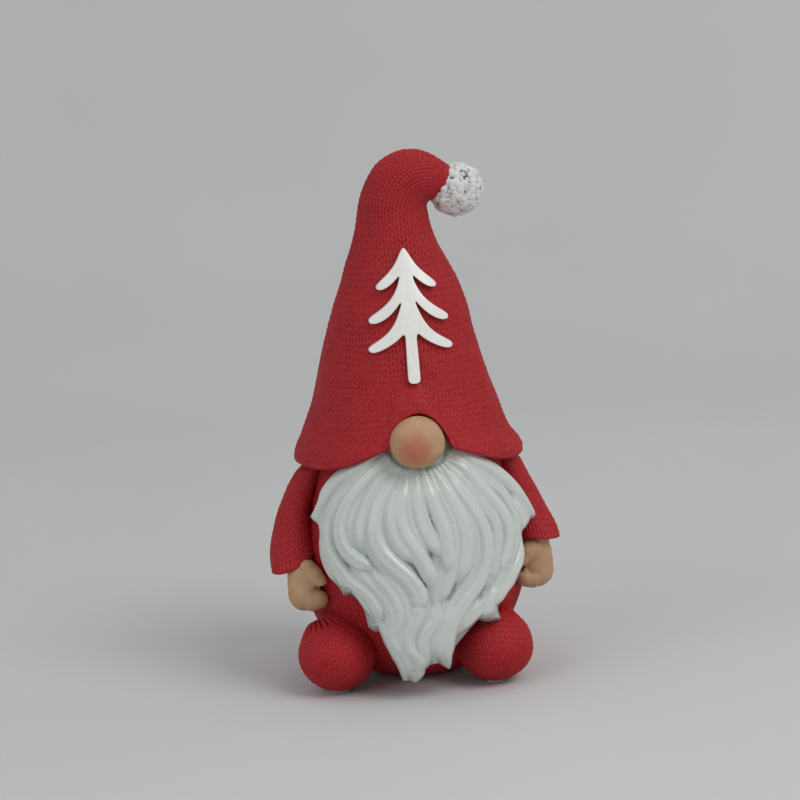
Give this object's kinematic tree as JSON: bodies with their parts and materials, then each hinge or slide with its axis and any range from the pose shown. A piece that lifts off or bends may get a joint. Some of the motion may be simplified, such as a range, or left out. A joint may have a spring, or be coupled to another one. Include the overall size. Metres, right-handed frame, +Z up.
{
  "type": "garden gnome figurine",
  "caption": "Standing garden gnome figure with a tall curled knitted hat, raised tree, round nose, long wavy beard, drooping arms and ball feet.",
  "frame": {"origin": "centre of the bounding box's base, on the plane the pads stand on", "axes": "+Z up along the hat, -Y the way the nose faces, +X towards the side the hat's tip curls to"},
  "size_m": [0.1046, 0.0888, 0.1905],
  "materials": {
    "red_body": "matt red paint on cast resin, knitted texture",
    "plug": "matt black stopper",
    "red_hat": "matt red paint on cast resin, knitted texture",
    "white_pompom": "rough white paint, crumbly texture",
    "steel_wire": "plain drawn wire",
    "ivory_tree": "satin warm white paint",
    "skin": "matt tan paint, blushed",
    "white_beard": "gloss white paint with a faint grey-green wash",
    "red_sleeve": "matt red paint on cast resin, knitted texture",
    "red_foot": "matt red paint on cast resin, knitted texture",
    "pad": "matt pale foam"
  },
  "bodies": {
    "root": {"body_shell": "red_body", "base_plug": "plug", "hat_shell": "red_hat", "pompom": "white_pompom", "pompom_pin": "steel_wire", "tree_plaque": "ivory_tree", "nose": "skin", "beard": "white_beard", "right_sleeve": "red_sleeve", "left_sleeve": "red_sleeve", "right_hand": "skin", "left_hand": "skin", "right_foot": "red_foot", "left_foot": "red_foot", "right_foot_pad": "pad", "left_foot_pad": "pad", "rear_pad": "pad"}
  },
  "joints": []
}
